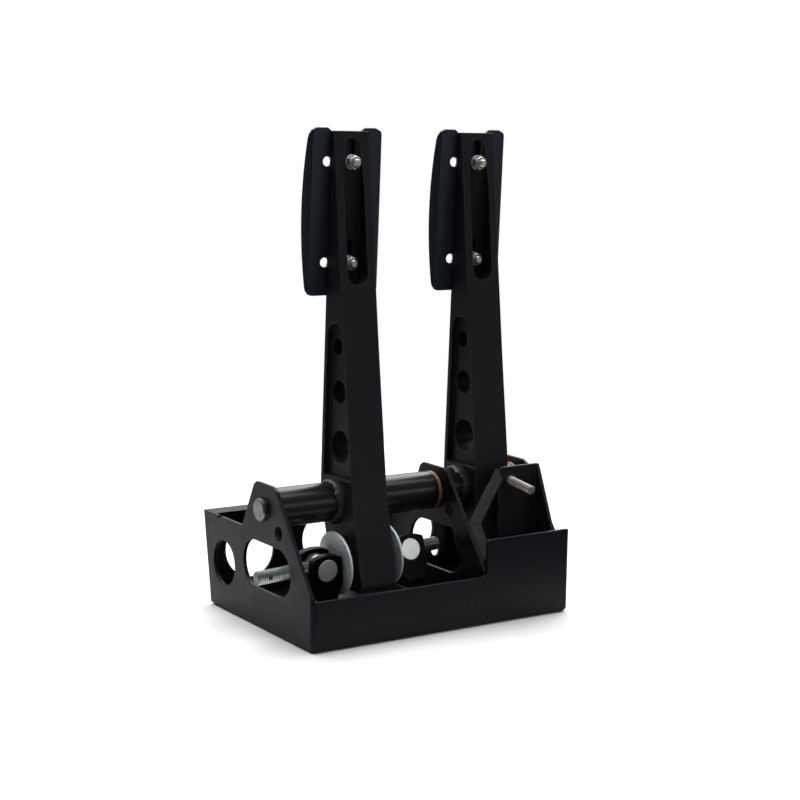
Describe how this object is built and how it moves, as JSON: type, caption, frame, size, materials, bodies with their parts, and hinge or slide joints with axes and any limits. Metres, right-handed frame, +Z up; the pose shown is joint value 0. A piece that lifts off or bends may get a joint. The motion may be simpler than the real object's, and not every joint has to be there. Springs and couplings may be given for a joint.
{
  "type": "pedal box",
  "caption": "Floor-mounted brake and clutch pedal box: a black folded tray with upright plates, a pivot shaft, pierced pedal arms with plate pads and a brake balance bar.",
  "frame": {"origin": "centre of the tray floor's underside", "axes": "+X along the pivot shaft from the brake to the clutch, +Y towards the driver and the rear wall, +Z up"},
  "size_m": [0.2581, 0.1775, 0.3861],
  "materials": {
    "coat": "satin black powder coat",
    "steel": "turned",
    "zinc": "bright zinc plate",
    "bronze": "turned bearing bronze",
    "nylon": "natural nylon"
  },
  "bodies": {
    "frame": {"tray_floor": "coat", "front_wall": "coat", "rear_wall": "coat", "left_side_plate": "coat", "middle_plate": "coat", "right_side_plate": "coat", "stop_bracket": "coat", "stop_brace": "coat", "stop_nut": "zinc", "pivot_shaft": "steel"},
    "clutch_stop": {"clutch_stop_screw": "steel"},
    "brake_pedal": {"brake_arm": "coat", "brake_pivot_tube": "coat", "brake_left_bush": "bronze", "brake_right_bush": "bronze", "bearing_sleeve": "coat"},
    "brake_pad_plate": {"brake_pad": "coat", "brake_pad_bolts": "steel", "brake_pad_washers": "steel", "brake_pad_nuts": "steel"},
    "bar_bearing": {"bearing_ball": "steel", "left_spacer_disc": "nylon", "right_spacer_disc": "nylon"},
    "bar": {"balance_bar": "zinc"},
    "left_trunnion": {"left_barrel": "steel"},
    "left_yoke": {"left_clevis": "coat"},
    "right_trunnion": {"right_barrel": "steel"},
    "right_yoke": {"right_clevis": "coat"},
    "clutch_pedal": {"clutch_arm": "coat", "clutch_pivot_tube": "coat", "clutch_left_bush": "bronze", "clutch_right_bush": "bronze"},
    "clutch_pad_plate": {"clutch_pad": "coat", "clutch_pad_bolts": "steel", "clutch_pad_washers": "steel", "clutch_pad_nuts": "steel"}
  },
  "joints": [
    {"name": "brake_swing", "type": "hinge", "parent": "frame", "child": "brake_pedal", "pos_m": [0, -0.0055, 0.0953], "axis": [1, 0, 0], "range_deg": [0, 20]},
    {"name": "clutch_swing", "type": "hinge", "parent": "frame", "child": "clutch_pedal", "pos_m": [0, -0.0055, 0.0953], "axis": [1, 0, 0], "range_deg": [0, 14]},
    {"name": "clutch_stop_adjust", "type": "slide", "parent": "frame", "child": "clutch_stop", "axis": [0, -0.9925, -0.1219], "range_m": [0, 0.006]},
    {"name": "brake_pad_slide", "type": "slide", "parent": "brake_pedal", "child": "brake_pad_plate", "axis": [0, -0.041, 0.9992], "range_m": [0, 0.012]},
    {"name": "clutch_pad_slide", "type": "slide", "parent": "clutch_pedal", "child": "clutch_pad_plate", "axis": [0, -0.041, 0.9992], "range_m": [0, 0.012]},
    {"name": "bar_tilt", "type": "hinge", "parent": "brake_pedal", "child": "bar_bearing", "pos_m": [-0.04, -0.0205, 0.0505], "axis": [0, 0, 1], "range_deg": [-5, 5]},
    {"name": "bar_spin", "type": "hinge", "parent": "bar_bearing", "child": "bar", "pos_m": [-0.04, -0.0205, 0.0505], "axis": [0.9986, 0, 0.0523], "continuous": true},
    {"name": "left_yoke_swing", "type": "hinge", "parent": "bar_bearing", "child": "left_trunnion", "pos_m": [-0.07845, -0.0205, 0.04849], "axis": [0.9986, 0, 0.0523], "range_deg": [-28, 92]},
    {"name": "left_yoke_swivel", "type": "hinge", "parent": "left_trunnion", "child": "left_yoke", "pos_m": [-0.07845, -0.0205, 0.04849], "axis": [-0.0027, 0.9986, 0.0523], "range_deg": [-3, 3]},
    {"name": "right_yoke_swing", "type": "hinge", "parent": "bar_bearing", "child": "right_trunnion", "pos_m": [-0.00155, -0.0205, 0.05251], "axis": [0.9986, 0, 0.0523], "range_deg": [-11, 109]},
    {"name": "right_yoke_swivel", "type": "hinge", "parent": "right_trunnion", "child": "right_yoke", "pos_m": [-0.00155, -0.0205, 0.05251], "axis": [0.0127, 0.9703, -0.2416], "range_deg": [-3, 3]}
  ]
}
